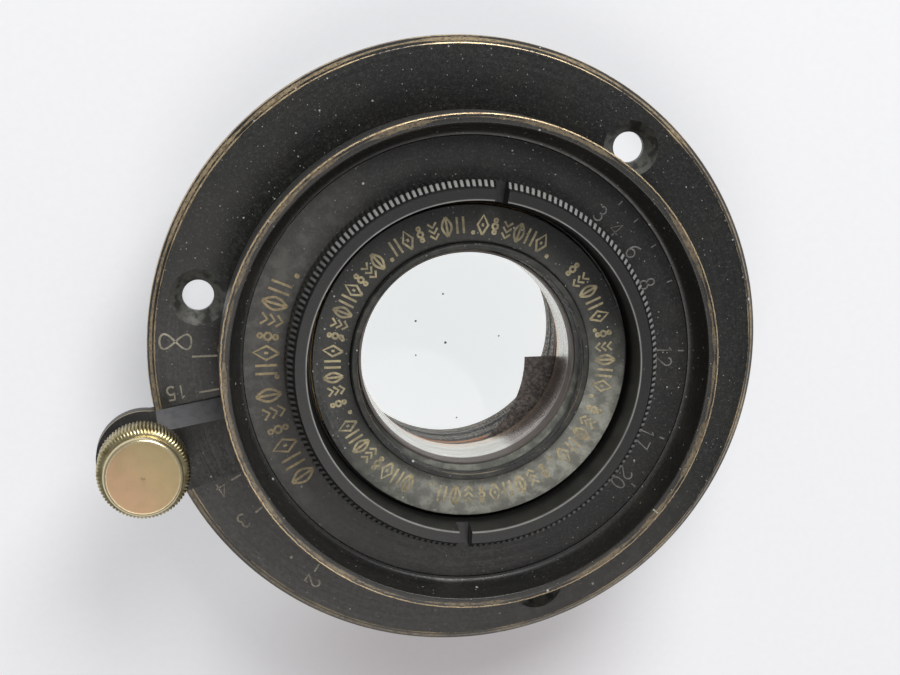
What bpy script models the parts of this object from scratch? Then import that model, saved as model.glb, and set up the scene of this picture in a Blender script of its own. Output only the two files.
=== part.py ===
"""Photographic lens in a flanged focusing mount, as separate pieces.

The optical axis is +Z, pointing out of the front of the lens.  The origin lies on that axis in the
flange's back face, which seats on a lens board.  The lens is drawn focused a little nearer than
infinity with the diaphragm fully open.  Lengths below are millimetres until they reach Blender.
"""
import math

import bmesh
import bpy
from mathutils import Matrix, Vector

MM = 0.001
OUTER_STEPS = 40
INNER_STEPS = 28

# Mounting flange, screwed to the lens board
FLANGE_R = 30.8
FLANGE_T = 2.0
FLANGE_EDGE = 0.8
FLANGE_BORE_R = 22.5
BOARD_HOLE_CIRCLE_R = 26.2
BOARD_HOLE_R = 1.56
BOARD_SINK_R = 2.8
BOARD_HOLE_ANGLES = (48.8, 168.8, 288.8)

# Focusing travel: the lever turns from the infinity mark to the nearest distance
FOCUS_LEAD_PER_RAD = 10.1
FOCUS_TO_INFINITY = math.radians(-9.4)
FOCUS_TO_NEAR = math.radians(47.1)
REAR_Z = -12.0
HOUSING_R = 22.2
HOUSING_BORE_R = 21.0
HOUSING_COLLAR_T = 1.2
GUIDE_R = 18.9
GUIDE_BORE_R = 17.8
CAM_R = 20.7
CAM_BORE_R = 19.25
FOLLOWER_Z = -7.57
FOLLOWER_ANGLES = (78.0, 198.0, 318.0)
FOLLOWER_R = 0.4
FOLLOWER_GAP = 0.3
FOLLOWER_END_GAP = 0.2
CAM_SLOT_R = 0.95
CAM_SLOT_AT_R = 19.85
CAM_TOP_Z = 2.0
STOP_PIN_ANGLES = (179.8, 258.6)
STOP_PIN_R = 0.5

# Focusing lever with its knob
LEVER_Z = 2.3
LEVER_T = 1.8
LEVER_EYE_R = 22.6
LEVER_ANGLE = 198.9
LEVER_END_AT = 32.8
LEVER_END_R = 4.85
LEVER_HALF_WIDTH = 4.4
INDEX_ANGLE = 191.2
INDEX_BEVEL = 2.0
KNOB_R = 4.5
KNOB_Z = 6.2
KNOB_TOP_Z = 9.6
KNOB_CAP_R = 3.9
KNOB_CAP_Z = 11.5

# Moving barrel and the dish at its front
BARREL_R = 17.5
BARREL_BORE_R = 16.7
BARREL_REAR_Z = -10.0
DISH_R = 24.0
DISH_RIM_Z = 12.9
DISH_RIM_IN_R = 23.0
DISH_LIP_Z = 8.4
DISH_HUB_Z = 7.6
DISH_FLOOR_Z = 9.1
SCALE_R = 21.6
SCALE_Z = 9.8
SCALE_T = 0.5

# Diaphragm ring, front cell and rear cell
RING_R = 17.8
RING_BEVEL_Z = 13.3
RING_TOP_R = 17.05
RING_TOP_Z = 14.5
RING_BORE_TOP_R = 15.95
RING_BORE_R = 15.5
SPANNER_SLOT_ANGLES = (82.0, 267.5)
SPANNER_SLOT_WIDTH = 1.25
CELL_FACE_R = 15.2
CELL_FACE_Z = 10.9
CELL_BORE_R = 11.9
CELL_LEDGE_Z = 9.0
CELL_WALL_TOP_R = 10.33
SNOUT_R = 10.9
SNOUT_BORE_R = 10.0
SNOUT_Z = 2.75
BEZEL_R = 11.55
BEZEL_BORE_R = 10.9
BEZEL_Z = 11.7
GLASS_R = 11.6
INNER_GLASS_R = 9.9
REAR_GLASS_R = 11.7
REAR_CELL_R = 13.2
REAR_CELL_TOP_Z = -1.0
REAR_CELL_Z = -8.6
REAR_CELL_BORE_R = 12.0
REAR_BEZEL_BORE_R = 11.0
REAR_BEZEL_TOP_Z = -6.95

# Diaphragm
BLADE_COUNT = 10
BLADE_FIRST_ANGLE = math.radians(35.0)
BLADE_PIVOT_R = 15.1
BLADE_IN_R = 10.3
BLADE_OUT_R = 14.1
BLADE_SPAN = math.radians(135.0)
BLADE_T = 0.14
BLADE_PITCH = 0.22
BLADE_STACK_Z = 0.35
PLATE_R = 16.4
PLATE_BORE_R = 10.2
PLATE_Z = -0.5
PLATE_T = 0.6
CAM_RING_Z = 2.8
CAM_RING_T = 0.45
DRIVE_PIN_R = 15.7

LACQUER = ("black_lacquer", (0.022, 0.021, 0.021), 0.42, 0.25)
BRASS = ("lacquered_brass", (0.62, 0.44, 0.20), 0.32, 1.0)
KNOB_BRASS = ("knob_brass", (0.72, 0.58, 0.26), 0.30, 1.0)
COPPER = ("worn_cap", (0.78, 0.47, 0.33), 0.38, 1.0)
BLADE_STEEL = ("blued_blades", (0.16, 0.14, 0.13), 0.40, 0.8)
GLASS = ("optical_glass", (0.90, 0.94, 0.93), 0.03, 0.0)
STEEL = ("screw_steel", (0.33, 0.32, 0.31), 0.35, 1.0)


def clear_scene():
    for existing in list(bpy.data.objects):
        bpy.data.objects.remove(existing, do_unlink=True)


def collection(name):
    made = bpy.data.collections.new(name)
    bpy.context.scene.collection.children.link(made)
    return made


def material(spec):
    name, colour, roughness, metallic = spec
    found = bpy.data.materials.get(name)
    if found:
        return found
    made = bpy.data.materials.new(name)
    made.use_nodes = True
    shader = made.node_tree.nodes["Principled BSDF"]
    shader.inputs["Base Color"].default_value = (*colour, 1.0)
    shader.inputs["Roughness"].default_value = roughness
    shader.inputs["Metallic"].default_value = metallic
    if name == GLASS[0]:
        shader.inputs["Transmission Weight"].default_value = 1.0
    return made


def place(mesh, name, finish, group, at=(0.0, 0.0, 0.0), turn=0.0):
    """Make an object of the mesh, placed in millimetres and turned about Z, under a group's empty."""
    made = bpy.data.objects.new(name, mesh)
    made.location = Vector(at) * MM
    made.rotation_euler = (0.0, 0.0, turn)
    if finish is None:
        cutters.objects.link(made)
        made.hide_render = True
        made.display_type = "WIRE"
    else:
        mesh.materials.append(material(finish))
        parts.objects.link(made)
        made.parent = group
    return made


def turned(name, profile, finish=None, group=None, steps=INNER_STEPS, closed=True):
    """Turn a profile of (radius, height) points about Z; it runs down its outer side."""
    mesh = bpy.data.meshes.new(name)
    count = len(profile)
    edges = [(i, (i + 1) % count) for i in range(count if closed else count - 1)]
    mesh.from_pydata([(r * MM, 0.0, z * MM) for r, z in profile], edges, [])
    made = place(mesh, name, finish, group)
    screw = made.modifiers.new("turn", "SCREW")
    screw.axis = "Z"
    screw.steps = steps
    screw.render_steps = steps
    screw.use_merge_vertices = True
    screw.merge_threshold = 0.00001
    screw.use_smooth_shade = False
    return made


def ring(name, outer_r, bore_r, low, high, finish=None, group=None, steps=INNER_STEPS):
    profile = [(outer_r, high), (outer_r, low), (bore_r, low), (bore_r, high)]
    return turned(name, profile, finish, group, steps)


def rod(name, radius, low, high, at, finish=None, group=None, top_radius=None, steps=12):
    """Upright cylinder or cone whose own origin is on its axis at zero height."""
    shape = bmesh.new()
    top = radius if top_radius is None else top_radius
    bmesh.ops.create_cone(shape, cap_ends=True, segments=steps, radius1=radius * MM,
                          radius2=top * MM, depth=(high - low) * MM,
                          matrix=Matrix.Translation((0, 0, (low + high) / 2 * MM)))
    mesh = bpy.data.meshes.new(name)
    shape.to_mesh(mesh)
    shape.free()
    return place(mesh, name, finish, group, at)


def radial_rod(name, radius, inner, outer, angle, height, finish=None, group=None, steps=12):
    """Cylinder lying along a radius of the barrel."""
    shape = bmesh.new()
    bmesh.ops.create_cone(shape, cap_ends=True, segments=steps, radius1=radius * MM,
                          radius2=radius * MM, depth=(outer - inner) * MM,
                          matrix=Matrix.Rotation(math.pi / 2, 4, "Y"))
    mesh = bpy.data.meshes.new(name)
    shape.to_mesh(mesh)
    shape.free()
    middle = (inner + outer) / 2
    at = (middle * math.cos(angle), middle * math.sin(angle), height)
    return place(mesh, name, finish, group, at, angle)


def box(name, size, at, turn=0.0, tilt=None):
    """Box cutter, centred at a point, turned about Z and first tilted about its own X."""
    shape = bmesh.new()
    bmesh.ops.create_cube(shape, size=1.0)
    bmesh.ops.scale(shape, vec=Vector(size) * MM, verts=shape.verts)
    if tilt:
        bmesh.ops.rotate(shape, matrix=Matrix.Rotation(tilt, 3, "X"), verts=shape.verts)
    mesh = bpy.data.meshes.new(name)
    shape.to_mesh(mesh)
    shape.free()
    return place(mesh, name, None, None, at, turn)


def slab(name, outline, low, high, finish=None, group=None, at=(0.0, 0.0, 0.0)):
    """Flat plate with a counter-clockwise outline of (x, y) points."""
    shape = bmesh.new()
    face = shape.faces.new([shape.verts.new((x * MM, y * MM, low * MM)) for x, y in outline])
    face.normal_update()
    if face.normal.z > 0:
        face.normal_flip()
    grown = bmesh.ops.extrude_face_region(shape, geom=[face])
    lifted = [item for item in grown["geom"] if isinstance(item, bmesh.types.BMVert)]
    bmesh.ops.translate(shape, vec=(0, 0, (high - low) * MM), verts=lifted)
    bmesh.ops.recalc_face_normals(shape, faces=shape.faces)
    mesh = bpy.data.meshes.new(name)
    shape.to_mesh(mesh)
    shape.free()
    return place(mesh, name, finish, group, at)


def combine(target, tool, operation):
    """Cut a tool out of a piece, or join it on."""
    change = target.modifiers.new(operation.lower(), "BOOLEAN")
    change.operation = operation
    change.solver = "EXACT"
    change.object = tool


def polar(radius, angle):
    return (radius * math.cos(angle), radius * math.sin(angle))


def arc(radius, start, end, count, centre=(0.0, 0.0)):
    points = []
    for i in range(count + 1):
        angle = start + (end - start) * i / count
        points.append((centre[0] + radius * math.cos(angle), centre[1] + radius * math.sin(angle)))
    return points


def arc_slot(name, radius, width, start, end, low, high):
    """Cutter for a slot along an arc about the axis."""
    outline = arc(radius + width / 2, start, end, 10) + arc(radius - width / 2, end, start, 10)
    return slab(name, outline, low, high)


def empty(name):
    made = bpy.data.objects.new(name, None)
    parts.objects.link(made)
    return made


def make_fixed_mount(group):
    """Flange, the tube behind it and the straight-slotted guide tube, which all stay still."""
    flange = turned("mounting_flange", [
        (FLANGE_R - FLANGE_EDGE, FLANGE_T), (FLANGE_R, FLANGE_T - FLANGE_EDGE), (FLANGE_R, 0.3),
        (FLANGE_R - 0.3, 0.0), (FLANGE_BORE_R, 0.0), (FLANGE_BORE_R, FLANGE_T)],
        LACQUER, group, OUTER_STEPS)
    for number, degrees in enumerate(BOARD_HOLE_ANGLES, 1):
        at = (*polar(BOARD_HOLE_CIRCLE_R, math.radians(degrees)), 0.0)
        combine(flange, rod(f"board_hole_{number}", BOARD_HOLE_R, -1.0, 3.0, at, steps=20), "DIFFERENCE")
        sink_depth = BOARD_SINK_R - BOARD_HOLE_R
        sink = rod(f"board_sink_{number}", BOARD_HOLE_R - 0.2, FLANGE_T - sink_depth - 0.2,
                   FLANGE_T + 0.2, at, top_radius=BOARD_SINK_R + 0.2, steps=20)
        combine(flange, sink, "DIFFERENCE")

    collar_z = REAR_Z + HOUSING_COLLAR_T
    turned("rear_housing", [
        (HOUSING_R, FLANGE_T - 0.1), (HOUSING_R, REAR_Z + 0.4), (HOUSING_R - 0.4, REAR_Z),
        (GUIDE_R + 0.3, REAR_Z), (GUIDE_R + 0.3, collar_z), (HOUSING_BORE_R, collar_z),
        (HOUSING_BORE_R, FLANGE_T - 0.1)], LACQUER, group, OUTER_STEPS)

    guide = ring("guide_tube", GUIDE_R, GUIDE_BORE_R, REAR_Z + 0.2, 4.2, BRASS, group)
    slot_low = FOLLOWER_Z + FOCUS_LEAD_PER_RAD * FOCUS_TO_INFINITY
    slot_high = FOLLOWER_Z + FOCUS_LEAD_PER_RAD * FOCUS_TO_NEAR
    for number, degrees in enumerate(FOLLOWER_ANGLES, 1):
        angle = math.radians(degrees)
        at = (*polar((GUIDE_R + GUIDE_BORE_R) / 2, angle), (slot_low + slot_high) / 2)
        half = FOLLOWER_R + FOLLOWER_GAP
        size = (3.0, 2 * half, slot_high - slot_low + 2 * half)
        combine(guide, box(f"guide_slot_{number}", size, at, angle), "DIFFERENCE")

    ring("guide_cover_ring", CAM_R - 0.1, GUIDE_BORE_R, 4.4, 5.2, LACQUER, group)
    for number, degrees in enumerate(STOP_PIN_ANGLES, 1):
        at = (*polar(LEVER_EYE_R + 0.8, math.radians(degrees)), 0.0)
        rod(f"focus_stop_pin_{number}", STOP_PIN_R, FLANGE_T + 0.05, 3.9, at, BRASS, group)


def helical_cutter(name, start_angle, radius):
    """Round-section helical tube along the path of one follower, as a closed mesh."""
    count = 9
    path = bpy.data.curves.new(name, "CURVE")
    path.dimensions = "3D"
    path.bevel_depth = CAM_SLOT_R * MM
    path.bevel_resolution = 2
    path.use_fill_caps = True
    spline = path.splines.new("POLY")
    spline.points.add(count)
    margin = (FOLLOWER_R + FOLLOWER_END_GAP) / math.hypot(radius, FOCUS_LEAD_PER_RAD)
    low = FOCUS_TO_INFINITY - margin
    high = FOCUS_TO_NEAR + margin
    for i, point in enumerate(spline.points):
        travel = low + (high - low) * i / count
        x, y = polar(radius, start_angle - travel)
        height = FOLLOWER_Z + FOCUS_LEAD_PER_RAD * travel
        point.co = (x * MM, y * MM, height * MM, 1.0)
    source = bpy.data.objects.new(name + "_path", path)
    cutters.objects.link(source)
    shape = bpy.data.meshes.new_from_object(source.evaluated_get(bpy.context.evaluated_depsgraph_get()))
    bpy.data.objects.remove(source, do_unlink=True)
    welded = bmesh.new()
    welded.from_mesh(shape)
    bmesh.ops.remove_doubles(welded, verts=welded.verts, dist=0.000001)
    bmesh.ops.recalc_face_normals(welded, faces=welded.faces)
    welded.to_mesh(shape)
    welded.free()
    return place(shape, name, None, None)


def lever_outline():
    """Arm of the lever in plan: a straight lower side, a round end and an edge along a radius."""
    direction = math.radians(LEVER_ANGLE)
    index = math.radians(INDEX_ANGLE)
    round_half = math.pi - math.asin(LEVER_HALF_WIDTH / LEVER_END_R)
    end = arc(LEVER_END_R, direction - round_half, direction + round_half, 16,
              polar(LEVER_END_AT, direction))
    across = polar(LEVER_HALF_WIDTH, direction + math.pi / 2)
    inner = polar(20.8, direction)
    return [polar(21.2, index)] + end + [(inner[0] + across[0], inner[1] + across[1])]


def make_focusing_lever(group):
    """Lever whose eye turns round the guide tube, its knob, and the slotted cam sleeve below it."""
    top = LEVER_Z + LEVER_T
    lever = slab("focusing_lever", lever_outline(), LEVER_Z, top, LACQUER, group)
    combine(lever, ring("lever_eye", LEVER_EYE_R, CAM_BORE_R + 0.05, LEVER_Z, top), "UNION")
    combine(lever, rod("lever_eye_bore", CAM_BORE_R + 0.05, 1.0, 6.0, (0, 0, 0), steps=INNER_STEPS),
            "DIFFERENCE")
    index = math.radians(INDEX_ANGLE)
    side = INDEX_BEVEL * math.sqrt(2)
    middle = polar(27.2, index)
    at = (middle[0], middle[1], top)
    combine(lever, box("index_bevel", (6.9, side, side), at, index, math.radians(45)), "DIFFERENCE")

    knob_at = (*polar(LEVER_END_AT, math.radians(LEVER_ANGLE)), 0.0)
    combine(lever, rod("knob_hole", 1.3, 1.0, 6.0, knob_at, steps=16), "DIFFERENCE")
    rod("knob_stud", 1.0, LEVER_Z - 0.2, top + 0.2, knob_at, STEEL, group, steps=16)
    turned_at("lever_knob", [(3.9, KNOB_TOP_Z + 0.3), (KNOB_R, KNOB_TOP_Z), (KNOB_R, KNOB_Z),
                             (3.4, KNOB_Z - 0.6), (2.0, KNOB_Z - 0.8), (1.9, top + 0.3),
                             (0.0, top + 0.3)], knob_at, KNOB_BRASS, group, KNOB_TOP_Z + 0.3)
    turned_at("knob_cap", [(KNOB_CAP_R - 0.35, KNOB_CAP_Z), (KNOB_CAP_R, KNOB_CAP_Z - 0.35),
                           (KNOB_CAP_R, KNOB_TOP_Z + 0.7), (KNOB_CAP_R - 0.25, KNOB_TOP_Z + 0.4),
                           (0.0, KNOB_TOP_Z + 0.4)], knob_at, COPPER, group, KNOB_CAP_Z)

    cam = ring("cam_sleeve", CAM_R, CAM_BORE_R, REAR_Z + HOUSING_COLLAR_T + 0.3, CAM_TOP_Z, BRASS, group)
    for number, degrees in enumerate(FOLLOWER_ANGLES, 1):
        angle = math.radians(degrees)
        cutter = helical_cutter(f"cam_slot_{number}", angle, CAM_SLOT_AT_R)
        combine(cam, cutter, "DIFFERENCE")
    for number in range(3):
        at = (*polar(19.98, math.radians(20 + 120 * number)), 0.0)
        combine(lever, rod(f"lever_screw_hole_{number}", 0.62, 1.0, 6.0, at), "DIFFERENCE")
        combine(cam, rod(f"cam_screw_hole_{number}", 0.62, 0.4, 3.0, at), "DIFFERENCE")
        rod(f"lever_screw_{number + 1}", 0.4, 0.8, top - 0.1, at, STEEL, group)


def turned_at(name, profile, at, finish, group, top):
    """Solid of revolution about an axis away from the lens's own, closed on that axis."""
    made = turned(name, [(0.0, top)] + profile, finish, group, 24, closed=False)
    made.location = Vector(at) * MM
    return made


def dish_profile():
    """Section of the dish: plain outer lip, flat rim, hollow curved wall, floor and hub."""
    depth = DISH_RIM_Z - SCALE_Z
    width = DISH_RIM_IN_R - SCALE_R - 0.1
    cove = []
    for i in range(5):
        angle = math.pi / 2 * i / 4
        cove.append((SCALE_R + 0.1 + width * math.cos(angle), DISH_RIM_Z - depth * math.sin(angle)))
    outside = [(DISH_R, DISH_RIM_Z), (DISH_R, DISH_LIP_Z), (22.2, DISH_LIP_Z), (21.6, DISH_HUB_Z),
               (BARREL_BORE_R, DISH_HUB_Z), (BARREL_BORE_R, DISH_FLOOR_Z),
               (SCALE_R + 0.1, DISH_FLOOR_Z)]
    return outside + cove[::-1]


def make_barrel(group):
    """Everything that slides along the axis without turning."""
    barrel = ring("barrel_tube", BARREL_R, BARREL_BORE_R, BARREL_REAR_Z, DISH_HUB_Z - 0.2, BRASS, group)
    for number, degrees in enumerate(FOLLOWER_ANGLES, 1):
        angle = math.radians(degrees)
        hole = radial_rod(f"follower_hole_{number}", FOLLOWER_R + FOLLOWER_GAP, 15.5, 18.5, angle,
                          FOLLOWER_Z)
        combine(barrel, hole, "DIFFERENCE")
        radial_rod(f"follower_screw_{number}", FOLLOWER_R, BARREL_BORE_R + 0.1, CAM_R - 0.3, angle,
                   FOLLOWER_Z, STEEL, group)
    turned("front_dish", dish_profile(), LACQUER, group, OUTER_STEPS)

    seat = turned("cell_seat", [(14.85, 9.0), (14.85, 6.5), (16.4, 6.5), (16.4, 5.9), (13.4, 5.9),
                                (13.4, 9.0)], BRASS, group)
    slot = arc_slot("drive_slot", DRIVE_PIN_R, 1.0, math.radians(-2.5), math.radians(95), 5.0, 8.0)
    combine(seat, slot, "DIFFERENCE")

    turned("front_cell", [(CELL_FACE_R, CELL_FACE_Z), (CELL_FACE_R, 10.0), (13.1, 9.6), (13.1, 3.6),
                          (SNOUT_R, 3.6), (SNOUT_R, SNOUT_Z), (SNOUT_BORE_R, SNOUT_Z),
                          (CELL_WALL_TOP_R, CELL_LEDGE_Z), (CELL_BORE_R, CELL_LEDGE_Z),
                          (CELL_BORE_R, CELL_FACE_Z)], LACQUER, group, OUTER_STEPS)
    turned("front_bezel", [(BEZEL_R - 0.15, BEZEL_Z), (BEZEL_R, BEZEL_Z - 0.3), (BEZEL_R, 10.2),
                           (BEZEL_BORE_R, 10.2), (BEZEL_BORE_R, BEZEL_Z)], LACQUER, group, OUTER_STEPS)
    lens_element("front_glass_outer", GLASS_R, 9.9, 11.4, 9.3, 10.3, group)
    lens_element("front_glass_inner", INNER_GLASS_R, 8.8, 9.8, 7.6, 8.6, group)

    plate = ring("iris_base_plate", PLATE_R, PLATE_BORE_R, PLATE_Z, PLATE_Z + PLATE_T, LACQUER, group)
    for k in range(BLADE_COUNT):
        at = (*polar(BLADE_PIVOT_R, blade_angle(k)), 0.0)
        combine(plate, rod(f"pivot_hole_{k}", 0.65, PLATE_Z - 1.0, PLATE_Z + 1.5, at, steps=8),
                "DIFFERENCE")

    flange_low = REAR_CELL_TOP_Z - 1.0
    ledge = REAR_CELL_TOP_Z - 1.2
    turned("rear_cell", [(PLATE_R, REAR_CELL_TOP_Z), (PLATE_R, flange_low),
                         (REAR_CELL_R, flange_low - 0.4), (REAR_CELL_R, REAR_CELL_Z + 0.3),
                         (REAR_CELL_R - 0.3, REAR_CELL_Z), (REAR_CELL_BORE_R, REAR_CELL_Z),
                         (REAR_CELL_BORE_R, ledge), (10.9, ledge + 0.4), (10.9, REAR_CELL_TOP_Z)],
           LACQUER, group)
    lens_element("rear_glass_inner", REAR_GLASS_R, -2.5, -3.5, -3.7, -4.7, group)
    lens_element("rear_glass_outer", REAR_GLASS_R, -4.9, -5.9, -6.4, -8.2, group)
    turned("rear_bezel", [(REAR_GLASS_R, REAR_BEZEL_TOP_Z), (REAR_GLASS_R, REAR_CELL_Z + 0.3),
                          (REAR_GLASS_R - 0.3, REAR_CELL_Z), (REAR_BEZEL_BORE_R, REAR_CELL_Z),
                          (REAR_BEZEL_BORE_R, REAR_BEZEL_TOP_Z)], BRASS, group)


def lens_element(name, radius, front_edge, front_middle, back_edge, back_middle, group):
    """Glass disc with a spherical front and back, given by their heights at the edge and middle."""
    front = cap_heights(radius, front_edge, front_middle)
    back = cap_heights(radius, back_edge, back_middle)
    return turned(name, front + back[::-1], GLASS, group, closed=False)


def cap_heights(radius, edge, middle, count=4):
    """Points of a shallow spherical cap from the axis out to its edge."""
    sag = middle - edge
    curve_r = (radius ** 2 + sag ** 2) / (2 * abs(sag))
    points = []
    for i in range(count + 1):
        r = radius * i / count
        drop = curve_r - math.sqrt(curve_r ** 2 - r ** 2)
        points.append((r, middle - math.copysign(drop, sag)))
    return points


def make_diaphragm_ring(group):
    """Turning ring, the scale plate under it and the cam ring that it drives by a pin."""
    grip = turned("iris_ring", [(RING_TOP_R, RING_TOP_Z), (RING_R, RING_BEVEL_Z), (RING_R, SCALE_Z + 0.1),
                                (RING_BORE_R, SCALE_Z + 0.1), (RING_BORE_TOP_R, RING_TOP_Z)],
                  LACQUER, group, OUTER_STEPS)
    for number, degrees in enumerate(SPANNER_SLOT_ANGLES, 1):
        angle = math.radians(degrees)
        at = (*polar((RING_R + RING_BORE_R) / 2 + 0.3, angle), 13.5)
        size = (4.0, SPANNER_SLOT_WIDTH, 3.4)
        combine(grip, box(f"spanner_slot_{number}", size, at, angle), "DIFFERENCE")
    ring("scale_plate", SCALE_R - 0.1, 15.3, SCALE_Z - SCALE_T, SCALE_Z, LACQUER, group, OUTER_STEPS)
    cam_top = CAM_RING_Z + CAM_RING_T
    ring("iris_cam_ring", 16.3, SNOUT_R + 0.3, CAM_RING_Z, cam_top, BRASS, group)
    pin_at = (*polar(DRIVE_PIN_R, math.radians(90.0)), 0.0)
    rod("iris_drive_pin", 0.32, cam_top + 0.1, SCALE_Z - SCALE_T - 0.1, pin_at, STEEL, group)


def blade_angle(number):
    return BLADE_FIRST_ANGLE + 2 * math.pi * number / BLADE_COUNT


def blade_outline():
    """Crescent blade whose pivot is at the origin and whose opening is centred on -X."""
    centre = (-BLADE_PIVOT_R, 0.0)
    inner = arc(BLADE_IN_R, BLADE_SPAN, math.radians(-2), 12, centre)
    ear = arc(0.95, math.radians(-110), math.radians(70), 6)
    outer = arc(BLADE_OUT_R, math.radians(7), BLADE_SPAN, 10, centre)
    return inner + ear + outer


def make_blades(groups):
    for k, group in enumerate(groups):
        low = BLADE_STACK_Z + BLADE_PITCH * k
        angle = blade_angle(k)
        at = (*polar(BLADE_PIVOT_R, angle), 0.0)
        blade = slab(f"iris_blade_{k + 1}", blade_outline(), low, low + BLADE_T, BLADE_STEEL, group)
        pin = rod(f"blade_pin_{k + 1}", 0.35, PLATE_Z + 0.1, low + BLADE_T / 2, at, steps=10)
        blade.location = Vector(at) * MM
        blade.rotation_euler = (0.0, 0.0, angle)
        combine(blade, pin, "UNION")


clear_scene()
parts = collection("flanged_focusing_lens")
cutters = collection("cutters")

make_fixed_mount(empty("fixed_group"))
make_focusing_lever(empty("lever_group"))
make_barrel(empty("barrel_group"))
make_diaphragm_ring(empty("iris_ring_group"))
make_blades([empty(f"blade_group_{k + 1}") for k in range(BLADE_COUNT)])
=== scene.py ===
"""Looks of a photographic lens in a flanged focusing mount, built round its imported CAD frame.

Every turned piece is made again at a fine step with rounded corners, and the knurls, engraved
numbers, ornament and worn finishes are added. Lengths are millimetres until they reach Blender.
"""

import math

import bmesh
import bpy
from mathutils import Matrix, Vector


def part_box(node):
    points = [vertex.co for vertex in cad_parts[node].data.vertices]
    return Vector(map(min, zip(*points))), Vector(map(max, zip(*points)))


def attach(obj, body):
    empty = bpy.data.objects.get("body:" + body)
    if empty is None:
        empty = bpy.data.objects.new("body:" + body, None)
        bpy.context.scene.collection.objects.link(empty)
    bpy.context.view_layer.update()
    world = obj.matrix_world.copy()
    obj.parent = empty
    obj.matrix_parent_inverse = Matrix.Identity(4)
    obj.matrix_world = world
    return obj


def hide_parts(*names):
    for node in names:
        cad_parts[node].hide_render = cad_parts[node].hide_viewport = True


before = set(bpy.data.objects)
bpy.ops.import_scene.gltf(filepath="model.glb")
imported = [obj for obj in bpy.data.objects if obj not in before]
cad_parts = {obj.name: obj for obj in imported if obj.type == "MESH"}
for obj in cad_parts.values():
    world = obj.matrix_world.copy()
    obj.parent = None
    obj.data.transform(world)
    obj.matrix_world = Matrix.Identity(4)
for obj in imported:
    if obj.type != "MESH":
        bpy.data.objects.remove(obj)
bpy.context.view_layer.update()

MM = 0.001
STEPS = 192
FINE_STEPS = 288


# ---------------------------------------------------------------- sizes read from the frame
def reach(node):
    """Outer radius of a turned CAD node about the optical axis, in millimetres."""
    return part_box(node)[1].x / MM


def low_z(node):
    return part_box(node)[0].z / MM


def high_z(node):
    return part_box(node)[1].z / MM


FLANGE_R = reach("mounting_flange")
FLANGE_T = high_z("mounting_flange")
FLANGE_BORE_R = 22.5
FLANGE_BEVEL = 0.75
HOUSING_BORE_R = 21.0
HOUSING_COLLAR_R = 19.2
COVER_R = 20.6
COVER_BORE_R = 17.8
HOLE_CIRCLE_R = 26.2
HOLE_R = 1.56
SINK_R = 2.8
HOLE_ANGLES = (48.8, 168.8, 288.8)

DISH_R = reach("front_dish")
RIM_Z = high_z("front_dish")
HUB_Z = low_z("front_dish")
LIP_Z = 8.4
RIM_IN_R = 23.0
SCALE_R = reach("scale_plate")
SCALE_Z = high_z("scale_plate")
RING_R = reach("iris_ring")
RING_TOP_Z = high_z("iris_ring")
RING_LOW_Z = low_z("iris_ring")
RING_BEVEL_Z = 13.3
RING_TOP_R = 17.05
RING_BORE_TOP_R = 15.95
RING_BORE_R = 15.5
SLOT_ANGLES = (82.0, 267.5)
SLOT_WIDTH = 1.25

FACE_R = reach("front_cell")
FACE_Z = high_z("front_cell")
BEZEL_R = reach("front_bezel")
BEZEL_Z = high_z("front_bezel")
BEZEL_BORE_R = 10.9

LEVER_LOW_Z = low_z("focusing_lever")
LEVER_Z = high_z("focusing_lever")
LEVER_ANGLE = math.radians(198.9)
LEVER_END_AT = 32.8
LEVER_END_R = 4.83
LEVER_HALF_WIDTH = 4.4
INDEX_ANGLE = math.radians(191.2)
EYE_R = 22.6
EYE_BORE_R = 19.3
KNOB_Z = 6.2
KNOB_TOP_Z = 9.6
KNOB_R = 4.5
KNOB_SHOULDER_R = 4.05
KNOB_AT = 33.0
KNURL_COUNT = 76

TOOTH_COUNT = 192
BEAD_IN_R = 17.22

CELL_LEDGE_Z = 9.0
CELL_WALL_TOP_R = 10.33
SNOUT_R = 10.9
SNOUT_BORE_R = 10.0
SNOUT_Z = low_z("front_cell")
BARREL_FIT_R = 16.4
REAR_WALL_R = 10.97
REAR_BORE_R = 12.0
REAR_LEDGE_Z = -6.8

BLADE_COUNT = 10
BLADE_PIVOT_R = 15.1
BLADE_FIRST_ANGLE = math.radians(35.0)
BLADE_SPAN = 135.0
BLADE_IN_R = 10.3
BLADE_OUT_R = 14.1
BLADE_T = 0.14
SLIPPED_BLADE = 8
SLIPPED_TURN = math.radians(14.2)
SLIPPED_SPAN = 60.0

GROOVE_DEPTH = 0.035
GROOVE_PROUD = 0.012

FLOOR_Z = low_z("rear_housing")
CAMERA_FROM = Vector((-0.1363, 0.1751, 0.9751)).normalized()
CAMERA_DISTANCE = 210.0
CAMERA_ASIDE = (-0.712, 0.752)
CAMERA_LENS = 83.8


def polar(radius, angle):
    return (radius * math.cos(angle), radius * math.sin(angle))


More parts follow.
